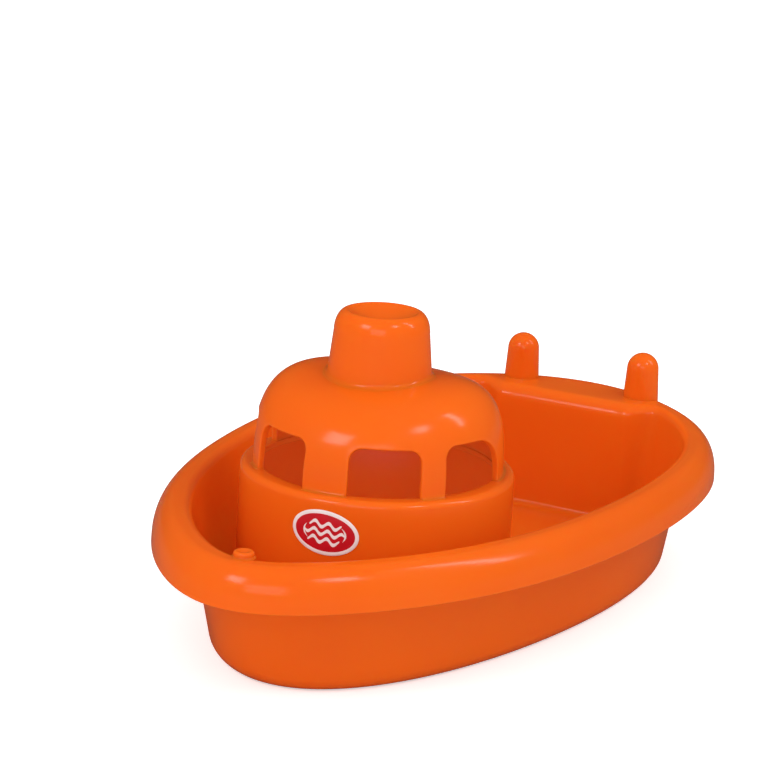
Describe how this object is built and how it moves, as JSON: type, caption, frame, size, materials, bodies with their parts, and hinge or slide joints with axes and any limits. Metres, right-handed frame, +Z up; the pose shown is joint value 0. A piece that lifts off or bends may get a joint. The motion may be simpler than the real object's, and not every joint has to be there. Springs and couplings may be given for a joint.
{
  "type": "toy boat",
  "caption": "Moulded plastic toy tug boat: an open tub hull with a wide rolled rim, a round cabin with a windowed dome and a funnel, and stern bollards.",
  "frame": {"origin": "on the floor under the middle of the overall box", "axes": "+X towards the bow, +Y to port, +Z up"},
  "size_m": [0.271, 0.1547, 0.104],
  "materials": {
    "orange_plastic": "glossy injection-moulded orange polypropylene",
    "label_film": "red printed film with a white edge"
  },
  "bodies": {
    "root": {"hull": "orange_plastic", "cabin_base": "orange_plastic", "cabin_dome": "orange_plastic", "funnel": "orange_plastic", "bollard_port": "orange_plastic", "bollard_starboard": "orange_plastic", "bow_button": "orange_plastic", "label": "label_film"}
  },
  "joints": []
}
